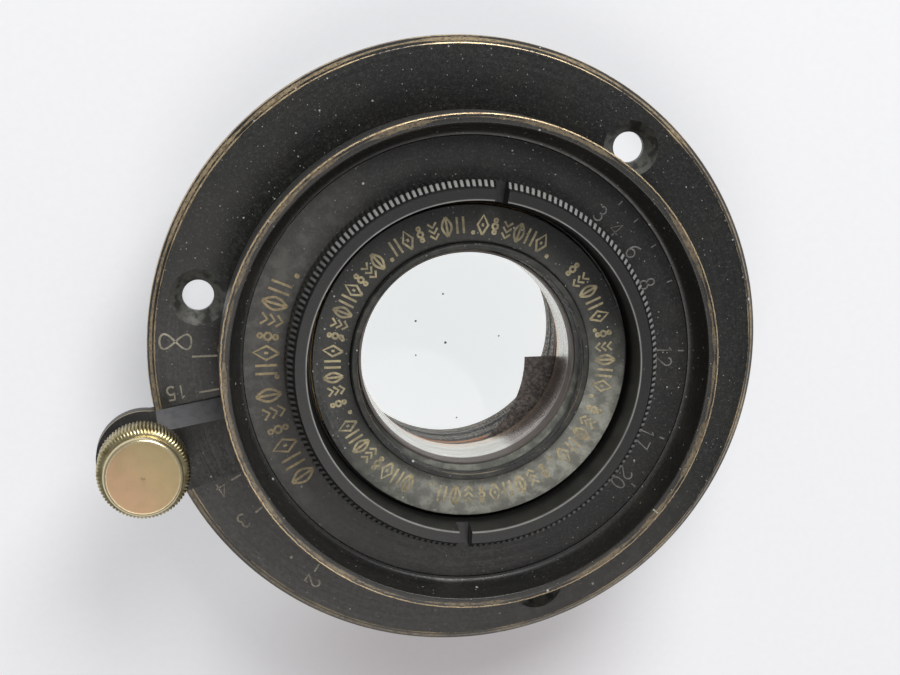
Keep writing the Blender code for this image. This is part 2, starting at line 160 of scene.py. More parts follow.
# ---------------------------------------------------------------- shader graphs
class Graph:
    """Short way to wire a material's nodes."""

    def __init__(self, name):
        self.material = bpy.data.materials.new(name)
        self.material.use_nodes = True
        self.tree = self.material.node_tree
        self.tree.nodes.clear()
        self.output = self.tree.nodes.new("ShaderNodeOutputMaterial")
        self.place = self.tree.nodes.new("ShaderNodeTexCoord").outputs["Object"]
        self.shader = None

    def feed(self, socket, value):
        if isinstance(value, bpy.types.NodeSocket):
            self.tree.links.new(value, socket)
        else:
            socket.default_value = value

    def math(self, operation, *values):
        made = self.tree.nodes.new("ShaderNodeMath")
        made.operation = operation
        for socket, value in zip(made.inputs, values):
            self.feed(socket, value)
        return made.outputs[0]

    def add(self, a, b):
        return self.math("ADD", a, b)

    def multiply(self, a, b):
        return self.math("MULTIPLY", a, b)

    def minus(self, a, b):
        return self.math("SUBTRACT", a, b)

    def larger(self, a, b):
        return self.math("MAXIMUM", a, b)

    def length(self, a, b):
        """Length of the line with these two components."""
        return self.math("SQRT", self.add(self.multiply(a, a), self.multiply(b, b)))

    def clamp(self, value, low, high):
        """Rise smoothly from 0 to 1 between low and high, or fall where low is above high."""
        made = self.tree.nodes.new("ShaderNodeMapRange")
        made.interpolation_type = "SMOOTHSTEP"
        self.feed(made.inputs[0], value)
        if low > high:
            made.inputs[1].default_value = high
            made.inputs[2].default_value = low
            made.inputs[3].default_value = 1.0
            made.inputs[4].default_value = 0.0
        else:
            made.inputs[1].default_value = low
            made.inputs[2].default_value = high
        return made.outputs[0]

    def noise(self, per_mm, detail=3.0, vector=None, roughness=0.55):
        made = self.tree.nodes.new("ShaderNodeTexNoise")
        self.feed(made.inputs["Vector"], self.place if vector is None else vector)
        made.inputs["Scale"].default_value = per_mm / MM
        made.inputs["Detail"].default_value = detail
        made.inputs["Roughness"].default_value = roughness
        return made.outputs[0]

    def streaks(self, x, y, z, detail, roughness=0.55):
        """Noise drawn out along a direction, over coordinates that are already scaled."""
        made = self.tree.nodes.new("ShaderNodeCombineXYZ")
        for socket, value in zip(made.inputs, (x, y, z)):
            self.feed(socket, value)
        return self.noise(1.0 * MM, detail, made.outputs[0], roughness)

    def split(self, vector):
        parts = self.tree.nodes.new("ShaderNodeSeparateXYZ")
        self.feed(parts.inputs[0], vector)
        return parts.outputs

    def seen_from(self, x, y, z=0.0):
        """The place on the object, measured from a point that is given in millimetres."""
        made = self.tree.nodes.new("ShaderNodeVectorMath")
        made.operation = "SUBTRACT"
        self.feed(made.inputs[0], self.place)
        made.inputs[1].default_value = (x * MM, y * MM, z * MM)
        return made.outputs[0]

    def cylindrical(self):
        """Radius, angle and height about the optical axis, the lengths in millimetres."""
        x, y, z = self.split(self.place)
        radius = self.multiply(self.length(x, y), 1 / MM)
        return radius, self.math("ARCTAN2", y, x), self.multiply(z, 1 / MM)

    def mix(self, factor, a, b):
        made = self.tree.nodes.new("ShaderNodeMix")
        made.data_type = "RGBA"
        self.feed(made.inputs[0], factor)
        self.feed(made.inputs[6], a if isinstance(a, bpy.types.NodeSocket) else (*a, 1.0))
        self.feed(made.inputs[7], b if isinstance(b, bpy.types.NodeSocket) else (*b, 1.0))
        return made.outputs[2]

    def blend(self, factor, a, b):
        made = self.tree.nodes.new("ShaderNodeMix")
        made.data_type = "FLOAT"
        self.feed(made.inputs[0], factor)
        self.feed(made.inputs[2], a)
        self.feed(made.inputs[3], b)
        return made.outputs[0]

    def bump(self, height, strength, depth_mm=0.02):
        made = self.tree.nodes.new("ShaderNodeBump")
        made.inputs["Strength"].default_value = strength
        made.inputs["Distance"].default_value = depth_mm * MM
        self.feed(made.inputs["Height"], height)
        return made.outputs[0]

    def specks(self, per_mm, share, size, offset=0.0):
        """Mask of small scattered specks: share of the cells that hold one, and its size in cells."""
        cells = self.tree.nodes.new("ShaderNodeTexVoronoi")
        self.feed(cells.inputs["Vector"], self.seen_from(-offset, -offset * 0.7, -offset * 0.3))
        cells.inputs["Scale"].default_value = per_mm / MM
        parts = self.tree.nodes.new("ShaderNodeSeparateColor")
        self.feed(parts.inputs[0], cells.outputs["Color"])
        chosen = self.math("LESS_THAN", parts.outputs[0], share)
        radius = self.multiply(self.add(parts.outputs[1], 0.35), size)
        near = self.clamp(self.math("DIVIDE", cells.outputs["Distance"], radius), 1.0, 0.6)
        return self.multiply(chosen, near)

    def finish(self, colour, roughness, metallic, normal=None):
        self.shader = self.tree.nodes.new("ShaderNodeBsdfPrincipled")
        self.feed(self.shader.inputs["Base Color"], colour)
        self.feed(self.shader.inputs["Roughness"], roughness)
        self.feed(self.shader.inputs["Metallic"], metallic)
        if normal is not None:
            self.feed(self.shader.inputs["Normal"], normal)
        self.tree.links.new(self.shader.outputs[0], self.output.inputs[0])
        return self.material

    def add_side_lightening(self, toward_angle, colour, strength, start=0.0, full=0.95):
        """Lay a dull, cloudy patch of the given colour over the finish on the side that faces the given
        angle.
        """
        angle = self.cylindrical()[1]
        toward = self.clamp(self.math("COSINE", self.minus(angle, toward_angle)), start, full)
        cloud = self.clamp(self.noise(0.8, 6.0, roughness=0.65), 0.42, 0.66)
        side_lightening = self.multiply(self.multiply(toward, self.blend(cloud, 0.45, 1.0)), strength)
        base, rough = self.shader.inputs["Base Color"], self.shader.inputs["Roughness"]
        self.feed(base, self.mix(side_lightening, base.links[0].from_socket, colour))
        self.feed(rough, self.blend(side_lightening, rough.links[0].from_socket, 0.75))


WORN_BRASS = (0.72, 0.56, 0.33)
DARK_BRASS = (0.20, 0.135, 0.085)
DUST = (0.42, 0.42, 0.39)
BLACK = (0.0078, 0.0080, 0.0072)
GREY_BLACK = (0.0105, 0.0110, 0.0098)


def lacquer(name, edges=(), dust=0.5, patina=0.0, tone=BLACK, rough=0.30, side_lightening=None):
    """Aged black lacquer on turned brass, worn through near the given edges.

    An edge is (radius, height, width, strength, evenness), the lengths in millimetres about the
    optical axis, and evenness from 1 for a clean line to 0 for scattered patches. The last argument
    holds the arguments of the Graph method that lays a dull, cloudy patch over one side.
    """
    g = Graph(name)
    radius, angle, height = g.cylindrical()
    broad = g.noise(0.16, 5.0)
    fine = g.noise(2.6, 5.0)
    grit = g.noise(4.2, 4.0, roughness=0.7)
    turning = g.streaks(g.multiply(radius, 9.0), g.multiply(angle, 1.2), 0.0, 3.0)
    base = g.mix(g.clamp(broad, 0.40, 0.68), tone, (tone[0] * 1.55, tone[1] * 1.45, tone[2] * 1.35))
    base = g.mix(g.multiply(g.clamp(grit, 0.50, 0.72), 0.75), base, (0.048, 0.049, 0.043))
    base = g.mix(g.multiply(g.clamp(fine, 0.60, 0.78), 0.40), base, (0.042, 0.032, 0.022))

    wear = None
    for edge_r, edge_z, width, strength, evenness in edges:
        distance = g.length(g.minus(radius, edge_r), g.minus(height, edge_z))
        reach_mm = g.multiply(g.blend(g.clamp(broad, 0.38, 0.62), max(evenness, 0.06), 1.0), width)
        reach_mm = g.multiply(reach_mm, g.blend(g.clamp(fine, 0.36, 0.64), 0.55, 1.0))
        mask = g.clamp(g.math("DIVIDE", distance, reach_mm), 1.0, 0.6)
        mask = g.multiply(mask, strength)
        wear = mask if wear is None else g.larger(wear, mask)
    bare = g.mix(g.clamp(fine, 0.38, 0.72), WORN_BRASS, DARK_BRASS)

    colour = base
    metallic = 0.0
    gloss = g.blend(g.clamp(g.add(fine, turning), 0.8, 1.2), rough, rough + 0.14)
    if patina:
        dusty = g.multiply(g.clamp(g.noise(0.55, 6.0), 0.44, 0.72), patina)
        colour = g.mix(dusty, colour, (0.105, 0.100, 0.082))
        gloss = g.blend(dusty, gloss, 0.72)
    if wear is not None:
        colour = g.mix(wear, colour, bare)
        metallic = g.multiply(wear, 0.75)
        gloss = g.blend(wear, gloss, 0.38)
    if dust:
        small = g.specks(2.0, 0.34 * dust, 0.135)
        medium = g.specks(0.95, 0.20 * dust, 0.095, 31.0)
        large = g.specks(0.45, 0.16 * dust, 0.070, 57.0)
        speck = g.larger(g.multiply(small, 0.5), g.larger(g.multiply(medium, 0.9), large))
        colour = g.mix(speck, colour, DUST)
        metallic = g.multiply(metallic, g.minus(1.0, speck))
    normal = g.bump(g.add(g.multiply(turning, 0.7), g.add(fine, g.multiply(grit, 0.4))), 0.25)
    g.finish(colour, gloss, metallic, normal)
    if side_lightening:
        g.add_side_lightening(*side_lightening)
    return g.material


def brass(name, colour=(0.60, 0.43, 0.20), dark=(0.30, 0.19, 0.09), rough=0.34, grime=0.5):
    """Turned brass with fine tool marks round the axis and darker stains."""
    g = Graph(name)
    radius, angle, height = g.cylindrical()
    stain = g.clamp(g.noise(0.25, 5.0), 0.42, 0.75)
    tool = g.streaks(g.multiply(radius, 7.0), g.multiply(height, 7.0), angle, 2.0)
    shade = g.mix(g.multiply(stain, grime), colour, dark)
    return g.finish(shade, g.blend(stain, rough, rough + 0.18), 1.0, g.bump(tool, 0.25))


# ---------------------------------------------------------------- mesh makers
def add_piece(name, mesh, body, node=None, finish=None, smooth=35.0):
    """Make a piece of the mesh, which rides on a body and may stand for a CAD node."""
    piece = bpy.data.objects.new(name, mesh)
    bpy.context.scene.collection.objects.link(piece)
    if smooth:
        mesh.shade_smooth()
        mesh.set_sharp_from_angle(angle=math.radians(smooth))
    if finish:
        mesh.materials.append(finish)
    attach(piece, body)
    if node:
        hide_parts(node)
    return piece


def rounded(profile, radius=0.12, steps=3):
    """A closed profile of (radius, height) points with each corner rounded."""
    count = len(profile)
    out = []
    for i, point in enumerate(profile):
        here = Vector(point)
        before = Vector(profile[i - 1]) - here
        after = Vector(profile[(i + 1) % count]) - here
        cut = min(radius, before.length * 0.45, after.length * 0.45)
        turn = before.angle(after, math.pi)
        if turn > math.radians(165) or cut < 0.005:
            out.append(tuple(point))
            continue
        a = here + before.normalized() * cut
        b = here + after.normalized() * cut
        for k in range(steps + 1):
            t = k / steps
            spot = a * (1 - t) ** 2 + here * 2 * t * (1 - t) + b * t * t
            out.append(tuple(spot))
    return out


def turned_mesh(name, profile, steps=STEPS, closed=True, wave=None):
    """Turn a profile about the optical axis. wave(radius, angle) may move the radius."""
    shape = bmesh.new()
    rows = []
    for k in range(steps):
        angle = 2 * math.pi * k / steps
        row = []
        for r, z in profile:
            bent = wave(r, angle) if wave else r
            if bent < 1e-6 and rows:
                row.append(rows[0][len(row)])
                continue
            x, y = polar(bent * MM, angle)
            row.append(shape.verts.new((x, y, z * MM)))
        rows.append(row)
    count = len(profile)
    for k in range(steps):
        here = rows[k]
        there = rows[(k + 1) % steps]
        for i in range(count if closed else count - 1):
            j = (i + 1) % count
            corners = []
            for vert in (here[i], here[j], there[j], there[i]):
                if vert not in corners:
                    corners.append(vert)
            if len(corners) > 2:
                shape.faces.new(corners)
    bmesh.ops.recalc_face_normals(shape, faces=shape.faces)
    return finished_mesh(name, shape)


def turned(name, profile, body, node, finish, steps=STEPS, corner=0.12):
    mesh = turned_mesh(name, rounded(profile, corner), steps)
    return add_piece(name, mesh, body, node, finish)


def reshape(piece, tools, sharp=35.0, edge_width=0.0):
    """Join and cut closed meshes, given as (operation, mesh), and then bevel the sharp edges."""
    helpers = []
    for operation, mesh in tools:
        helper = bpy.data.objects.new("tool", mesh)
        bpy.context.scene.collection.objects.link(helper)
        change = piece.modifiers.new(operation, "BOOLEAN")
        change.operation = operation
        change.solver = "EXACT"
        change.object = helper
        helpers.append(helper)
    if edge_width:
        edge = piece.modifiers.new("edge", "BEVEL")
        edge.width = edge_width * MM
        edge.segments = 2
        edge.limit_method = "ANGLE"
        edge.angle_limit = math.radians(38)
    bpy.context.view_layer.update()
    result = evaluated_mesh(piece)
    piece.modifiers.clear()
    piece.data = result
    result.shade_smooth()
    result.set_sharp_from_angle(angle=math.radians(sharp))
    for helper in helpers:
        bpy.data.objects.remove(helper, do_unlink=True)


def evaluated_mesh(piece):
    return bpy.data.meshes.new_from_object(piece.evaluated_get(bpy.context.evaluated_depsgraph_get()))


def washer(outer, inner, low, high):
    """Profile of a plain flat ring."""
    return [(outer, high), (outer, low), (inner, low), (inner, high)]


def slab_mesh(name, outline, low, high):
    """Upright closed solid on a plan outline."""
    shape = bmesh.new()
    face = shape.faces.new([shape.verts.new((x * MM, y * MM, low * MM)) for x, y in outline])
    grown = bmesh.ops.extrude_face_region(shape, geom=[face])
    lifted = [part for part in grown["geom"] if isinstance(part, bmesh.types.BMVert)]
    bmesh.ops.translate(shape, vec=(0, 0, (high - low) * MM), verts=lifted)
    bmesh.ops.recalc_face_normals(shape, faces=shape.faces)
    return finished_mesh(name, shape)


def finished_mesh(name, shape):
    mesh = bpy.data.meshes.new(name)
    shape.to_mesh(mesh)
    shape.free()
    return mesh


def offset_turned(profile, at, steps=64, wave=None):
    """Solid of revolution about an upright axis through a point, as a mesh."""
    mesh = turned_mesh("turned", profile, steps, False, wave)
    mesh.transform(Matrix.Translation((at[0] * MM, at[1] * MM, 0.0)))
    return mesh


def box_mesh(size, at, turn, roll=0.0):
    """Box about a point, rolled about its own length and then turned about the upright."""
    shape = bmesh.new()
    bmesh.ops.create_cube(shape, size=1.0)
    bmesh.ops.scale(shape, vec=Vector(size) * MM, verts=shape.verts)
    bmesh.ops.rotate(shape, matrix=Matrix.Rotation(roll, 3, "X"), verts=shape.verts)
    mesh = finished_mesh("box", shape)
    mesh.transform(Matrix.Translation(Vector(at) * MM) @ Matrix.Rotation(turn, 4, "Z"))
    return mesh


# ---------------------------------------------------------------- engraving
def bend(cx, cy, rx, ry, start, end, count=12):
    """Points along an elliptical arc, angles in degrees."""
    points = []
    for i in range(count + 1):
        angle = math.radians(start + (end - start) * i / count)
        points.append((cx + rx * math.cos(angle), cy + ry * math.sin(angle)))
    return points


def digit(character):
    """Strokes of one figure of a dial, one unit high and centred on x = 0."""
    return {
        "0": [bend(0, 0.5, 0.27, 0.5, 0, 360, 20)],
        "1": [[(-0.15, 0.82), (0.02, 1.0), (0.02, 0.0)]],
        "2": [bend(0, 0.72, 0.26, 0.28, 165, -35) + [(-0.28, 0.0), (0.29, 0.0)]],
        "3": [bend(-0.02, 0.75, 0.23, 0.25, 150, -90) + bend(-0.02, 0.26, 0.28, 0.26, 90, -150)],
        "4": [[(0.12, 0.0), (0.12, 1.0), (-0.32, 0.30), (0.32, 0.30)]],
        "5": [[(0.24, 1.0), (-0.20, 1.0), (-0.24, 0.56)] + bend(-0.02, 0.31, 0.28, 0.31, 125, -145)],
        "6": [[(0.18, 1.0)] + bend(0.06, 0.42, 0.34, 0.48, 118, 180, 6)
              + bend(0, 0.28, 0.27, 0.28, 180, 540, 18)],
        "7": [[(-0.27, 1.0), (0.27, 1.0), (-0.07, 0.0)]],
        "8": [bend(0, 0.75, 0.21, 0.24, -90, 270, 16), bend(0, 0.26, 0.27, 0.26, 90, 450, 18)],
    }[character]


def infinity_mark():
    """A crossed double loop, the far mark of a distance scale."""
    line = []
    for i in range(37):
        t = 2 * math.pi * i / 36
        line.append((0.92 * math.cos(t), 0.5 + 0.44 * math.sin(2 * t)))
    return [line]


def label(text, centre, turn, height):
    """Strokes of a number about a point, turned so that it reads along the given angle."""
    advance = 0.78
    strokes = []
    for k, character in enumerate(text):
        shift = (k - (len(text) - 1) / 2) * advance
        for line in digit(character):
            strokes.append([(x + shift, y) for x, y in line])
    return moved(strokes, centre, turn, height)


def moved(strokes, centre, turn, height):
    """Strokes one unit high, scaled and turned, with their middle at a point."""
    c, s = height * math.cos(turn), height * math.sin(turn)
    return [[(centre[0] + x * c - (y - 0.5) * s, centre[1] + x * s + (y - 0.5) * c) for x, y in line]
            for line in strokes]


def tick(angle, inner, outer):
    return [polar(inner, angle), polar(outer, angle)]


def engraving(name, strokes, z, width, body, finish):
    """Narrow filled grooves along the strokes, as closed ribbons nearly flush with a flat face."""
    path = bpy.data.curves.new(name, "CURVE")
    path.dimensions = "3D"
    path.bevel_depth = width / 2 * MM
    path.bevel_resolution = 1
    path.use_fill_caps = True
    for line in strokes:
        spline = path.splines.new("POLY")
        spline.points.add(len(line) - 1)
        for point, (x, y) in zip(spline.points, line):
            point.co = (x * MM, y * MM, 0.0, 1.0)
    source = bpy.data.objects.new(name + "_path", path)
    bpy.context.scene.collection.objects.link(source)
    mesh = evaluated_mesh(source)
    bpy.data.objects.remove(source, do_unlink=True)
    welded = bmesh.new()
    welded.from_mesh(mesh)
    bmesh.ops.remove_doubles(welded, verts=welded.verts, dist=0.0000005)
    bmesh.ops.recalc_face_normals(welded, faces=welded.faces)
    welded.to_mesh(mesh)
    welded.free()
    mesh.name = name
    mesh.transform(Matrix.Translation((0, 0, (z - GROOVE_DEPTH / 2 + GROOVE_PROUD) * MM))
                   @ Matrix.Diagonal((1, 1, GROOVE_DEPTH / width, 1)))
    add_piece(name, mesh, body, None, finish)


def ornament(kind):
    """Strokes of one small figure of an engraved border, one unit high and centred on x = 0."""
    leaf = [(0.24 * math.sin(math.pi * t / 8), t / 8) for t in range(9)]
    return {
        "leaf": [leaf, [(-x, y) for x, y in leaf], [(0, 0.12), (0, 0.88)]],
        "lozenge": [[(0, 0), (0.27, 0.5), (0, 1), (-0.27, 0.5), (0, 0)], [(0, 0.42), (0, 0.58)]],
        "bars": [[(-0.16, 0.08), (-0.16, 0.92)], [(0.16, 0.08), (0.16, 0.92)]],
        "chevrons": [[(-0.22, 0.86), (0, 0.62), (0.22, 0.86)], [(-0.22, 0.56), (0, 0.32), (0.22, 0.56)],
                     [(-0.22, 0.26), (0, 0.02), (0.22, 0.26)]],
        "beads": [bend(0, 0.2, 0.09, 0.09, 0, 360, 8), bend(0, 0.5, 0.14, 0.14, 0, 360, 10),
                  bend(0, 0.8, 0.09, 0.09, 0, 360, 8)],
        "dot": [bend(0, 0.1, 0.06, 0.06, 0, 360, 6)],
    }[kind]


BORDER = ("leaf", "bars", "lozenge", "beads", "chevrons")


def border(runs, radius, height, pitch):
    """Figures of an engraved border along stretches of a circle, their tops pointing outwards."""
    strokes = []
    number = 0
    for start, end in runs:
        count = max(1, round((start - end) * math.pi / 180 * radius / pitch))
        for k in range(count):
            angle = math.radians(start + (end - start) * (k + 0.5) / count)
            figure = ornament(BORDER[number % len(BORDER)])
            strokes += moved(figure, polar(radius, angle), angle - math.pi / 2, height)
            number += 1
        stop = math.radians(end - 2.6)
        strokes += moved(ornament("dot"), polar(radius, stop), stop - math.pi / 2, height)
    return strokes


def inlay(name, colour, worn=0.45):
    """Old filling of an engraved line: dull, and rubbed away in places."""
    g = Graph(name)
    patch = g.clamp(g.noise(0.45, 4.0), 0.42, 0.66)
    fine = g.clamp(g.noise(3.0, 3.0), 0.35, 0.7)
    shade = g.mix(fine, colour, tuple(c * 0.62 for c in colour))
    shade = g.mix(g.multiply(patch, worn), shade, (0.035, 0.032, 0.028))
    return g.finish(shade, 0.5, 0.25)


# ---------------------------------------------------------------- pieces of the mount
def make_flange():
    finish = lacquer("flange_lacquer", [
        (FLANGE_R - 0.72, FLANGE_T, 0.16, 0.95, 0.35),
        (FLANGE_R, FLANGE_T - FLANGE_BEVEL, 0.16, 1.0, 0.5),
        (FLANGE_R - 0.38, FLANGE_T - 0.38, 0.44, 0.50, 0.35), (FLANGE_R, 0.7, 0.6, 0.6, 0.1)],
        dust=1.7, side_lightening=(-1.9, (0.150, 0.140, 0.122), 0.50, 0.1, 1.0))
    profile = [(FLANGE_R - FLANGE_BEVEL, FLANGE_T), (FLANGE_R, FLANGE_T - FLANGE_BEVEL), (FLANGE_R, 0.3),
               (FLANGE_R - 0.3, 0.0), (FLANGE_BORE_R, 0.0), (FLANGE_BORE_R, FLANGE_T)]
    flange = turned("mounting_flange_fine", profile, "mount", "mounting_flange", finish,
                    FINE_STEPS, 0.10)
    for degrees in HOLE_ANGLES:
        at = polar(HOLE_CIRCLE_R, math.radians(degrees))
        sink = SINK_R - HOLE_R
        tool = [(0.0, FLANGE_T + 1), (SINK_R + 1, FLANGE_T + 1), (SINK_R, FLANGE_T),
                (HOLE_R, FLANGE_T - sink), (HOLE_R, -1.0), (0.0, -1.0)]
        reshape(flange, [("DIFFERENCE", offset_turned(tool, at))])
    flange.data.materials.append(sink_metal())
    for polygon in flange.data.polygons:
        if 0.3 < polygon.normal.z < 0.95 and near_hole(polygon.center.xy):
            polygon.material_index = len(flange.data.materials) - 1


def near_hole(point):
    """Whether a point of the flange lies inside a countersink's rim."""
    holes = [Vector(polar(HOLE_CIRCLE_R * MM, math.radians(degrees))) for degrees in HOLE_ANGLES]
    return any((point - hole).length < (SINK_R + 0.05) * MM for hole in holes)


def sink_metal():
    """Countersink rubbed grey by screw heads, with fine rings and old dirt."""
    g = Graph("sink_metal")
    fine = g.noise(3.5, 4.0)
    patch = g.clamp(g.noise(0.8, 3.0), 0.38, 0.62)
    shade = g.mix(patch, (0.035, 0.034, 0.031), (0.20, 0.20, 0.18))
    return g.finish(shade, g.blend(fine, 0.25, 0.45), g.blend(patch, 0.15, 0.75), g.bump(fine, 0.2))


def make_distance_scale():
    fill = inlay("distance_fill", (0.34, 0.31, 0.24))
    marks = [(181.8, 23.9, 26.4), (189.8, 24.1, 26.1), (210.7, 25.2, 26.3), (219.8, 25.4, 26.3),
             (238.3, 26.3, 27.2)]
    strokes = [tick(math.radians(a), inner, outer) for a, inner, outer in marks]
    labels = [("15", 28.3, 189.0, 1.35), ("4", 27.6, 211.4, 1.5), ("3", 27.75, 219.5, 1.45),
              ("2", 28.1, 239.1, 1.5)]
    for text, radius, degrees, height in labels:
        angle = math.radians(degrees)
        strokes += label(text, polar(radius, angle), angle, height)
    angle = math.radians(178.6)
    strokes += moved(infinity_mark(), polar(28.0, angle), angle, 1.7)
    strokes.append(bend(*polar(27.2, math.radians(232.4)), 0.08, 0.08, 0, 360, 6))
    engraving("distance_scale", strokes, FLANGE_T, 0.24, "mount", fill)


def make_housing():
    low = low_z("rear_housing")
    outer = reach("rear_housing")
    coat = lacquer("housing_lacquer", [(outer, low, 0.3, 0.9, 0.5)], dust=0.4)
    turned("rear_housing_fine", [
        (outer, FLANGE_T - 0.1), (outer, low + 5.2), (outer - 0.12, low + 5.1), (outer - 0.12, low + 4.9),
        (outer, low + 4.8), (outer, low + 0.4), (outer - 0.4, low), (HOUSING_COLLAR_R, low),
        (HOUSING_COLLAR_R, low + 1.2), (HOUSING_BORE_R, low + 1.2), (HOUSING_BORE_R, FLANGE_T - 0.1)],
        "mount", "rear_housing", coat, corner=0.06)
    paint("guide_tube", brass("guide_brass"))
    turned("guide_cover_fine", washer(COVER_R, COVER_BORE_R, 4.4, 5.2), "mount", "guide_cover_ring", coat,
           corner=0.1)


def paint_carried_over():
    """Give the carried-over CAD nodes finished materials."""
    plain_brass = brass("inner_brass")
    for node in ("cam_sleeve", "cell_seat", "iris_cam_ring", "focus_stop_pin_1", "focus_stop_pin_2"):
        paint(node, plain_brass)
    steel = brass("steel", (0.32, 0.31, 0.30), (0.16, 0.15, 0.14), 0.35, 0.6)
    screws = [f"{kind}_screw_{k}" for kind in ("lever", "follower") for k in (1, 2, 3)]
    for node in screws + ["iris_drive_pin", "knob_stud"]:
        paint(node, steel)


def paint(node, finish):
    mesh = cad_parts[node].data
    mesh.materials.clear()
    mesh.materials.append(finish)


# ---------------------------------------------------------------- lever and knob
def lever_outline():
    """Plan of the lever's arm: a round end, a straight lower side and the index edge along a radius."""
    half = math.pi - math.asin(LEVER_HALF_WIDTH / LEVER_END_R)
    centre = polar(LEVER_END_AT, LEVER_ANGLE)
    points = [polar(21.2, INDEX_ANGLE)]
    for i in range(49):
        angle = LEVER_ANGLE - half + 2 * half * i / 48
        x, y = polar(LEVER_END_R, angle)
        points.append((centre[0] + x, centre[1] + y))
    across = polar(LEVER_HALF_WIDTH, LEVER_ANGLE + math.pi / 2)
    inner = polar(20.8, LEVER_ANGLE)
    points.append((inner[0] + across[0], inner[1] + across[1]))
    return points


def make_lever():
    mesh = slab_mesh("lever", lever_outline(), LEVER_LOW_Z, LEVER_Z)
    lever = add_piece("focusing_lever_fine", mesh, "lever", "focusing_lever", None, None)
    black = lacquer("lever_lacquer", dust=0.9, tone=(0.0085, 0.0078, 0.0072), rough=0.42)
    finishes = (black, lever_side(), lever_bevel())
    for finish in finishes:
        mesh.materials.append(finish)
    eye = turned_mesh("eye", washer(EYE_R, EYE_BORE_R, LEVER_LOW_Z, LEVER_Z))
    bore = turned_mesh("bore", [(0, 6.0), (EYE_BORE_R, 6.0), (EYE_BORE_R, 1.0), (0, 1.0)], closed=False)
    side = 2.0 * math.sqrt(2)
    slope = box_mesh((6.9, side, side), (*polar(27.2, INDEX_ANGLE), LEVER_Z), INDEX_ANGLE, math.radians(45))
    reshape(lever, [("UNION", eye), ("DIFFERENCE", bore), ("DIFFERENCE", slope)], 30.0, 0.09)
    while len(lever.data.materials) > len(finishes):
        lever.data.materials.pop()
    for polygon in lever.data.polygons:
        polygon.material_index = lever_face(polygon)


def lever_face(polygon):
    """Which finish a face of the lever has: its top, its bare sides or its bright index bevel."""
    across = Vector(polar(1.0, INDEX_ANGLE - math.pi / 2))
    lean = Vector(polygon.normal[:2]).dot(across)
    if 0.3 < polygon.normal.z < 0.97 and lean > 0.25:
        return 2
    if abs(polygon.normal.z) < 0.8:
        return 1
    return 0


def lever_side():
    """Dark edge of the lever with brass showing along its upper corner."""
    g = Graph("lever_side")
    height = g.cylindrical()[2]
    fine = g.noise(2.5, 4.0)
    bare = g.clamp(g.add(height, g.multiply(fine, 0.12)), LEVER_Z - 0.20, LEVER_Z - 0.08)
    shade = g.mix(bare, (0.030, 0.025, 0.020), g.mix(fine, (0.74, 0.62, 0.38), (0.45, 0.33, 0.18)))
    return g.finish(shade, g.blend(bare, 0.45, 0.32), g.multiply(bare, 0.8), g.bump(fine, 0.2))


def lever_bevel():
    """Flat grey on the lever's index slope, a painted reflection of the sky on the black lever."""
    g = Graph("index_bevel")
    streak = g.noise(1.4, 4.0)
    fine = g.noise(6.0, 3.0)
    shade = g.mix(g.clamp(streak, 0.4, 0.7), (0.118, 0.118, 0.122), (0.092, 0.092, 0.096))
    return g.finish(shade, g.blend(fine, 0.55, 0.7), 0.0, g.bump(fine, 0.15))


def knob_wave(radius, angle):
    """Straight knurl on the knob's rim, fading out over its shoulders."""
    if radius < KNOB_SHOULDER_R:
        return radius
    tooth = abs(math.sin(angle * KNURL_COUNT / 2))
    return radius - 0.15 * (1 - tooth) ** 1.2 * min(1.0, (radius - KNOB_SHOULDER_R) / 0.3)


def make_knob():
    at = polar(KNOB_AT, LEVER_ANGLE)
    low = LEVER_Z + 0.3
    profile = [(0.0, KNOB_TOP_Z + 0.3), (3.8, KNOB_TOP_Z + 0.3), (KNOB_SHOULDER_R, KNOB_TOP_Z + 0.22),
               (4.34, KNOB_TOP_Z + 0.08), (KNOB_R, KNOB_TOP_Z - 0.12), (KNOB_R, KNOB_Z + 0.5),
               (4.34, KNOB_Z + 0.22), (KNOB_SHOULDER_R, KNOB_Z), (3.4, KNOB_Z - 0.6),
               (2.3, KNOB_Z - 0.8), (1.95, KNOB_Z - 1.0), (1.9, low + 0.2), (1.8, low), (0.0, low)]
    mesh = offset_turned(profile, at, KNURL_COUNT * 8, knob_wave)
    add_piece("lever_knob_fine", mesh, "lever", "lever_knob", knob_brass(), 50.0)
    top = high_z("knob_cap")
    profile = [(0.0, top - 0.03), (0.10, top - 0.025), (0.18, top - 0.005), (0.3, top), (3.44, top),
               (3.54, top - 0.01), (3.64, top - 0.05), (3.76, top - 0.18), (3.84, top - 0.34),
               (3.84, top - 0.75), (3.75, top - 0.86), (3.6, KNOB_TOP_Z + 0.6), (3.6, KNOB_TOP_Z + 0.4),
               (0.0, KNOB_TOP_Z + 0.4)]
    mesh = offset_turned(profile, at, 128)
    add_piece("knob_cap_fine", mesh, "lever", "knob_cap", cap_copper(at), 40.0)


def knob_brass():
    g = Graph("knob_brass_fine")
    stain = g.clamp(g.noise(0.9, 4.0), 0.4, 0.7)
    shade = g.mix(stain, (0.48, 0.42, 0.24), (0.24, 0.19, 0.09))
    return g.finish(shade, g.blend(stain, 0.30, 0.42), 1.0, g.bump(g.noise(5.0, 3.0), 0.15))


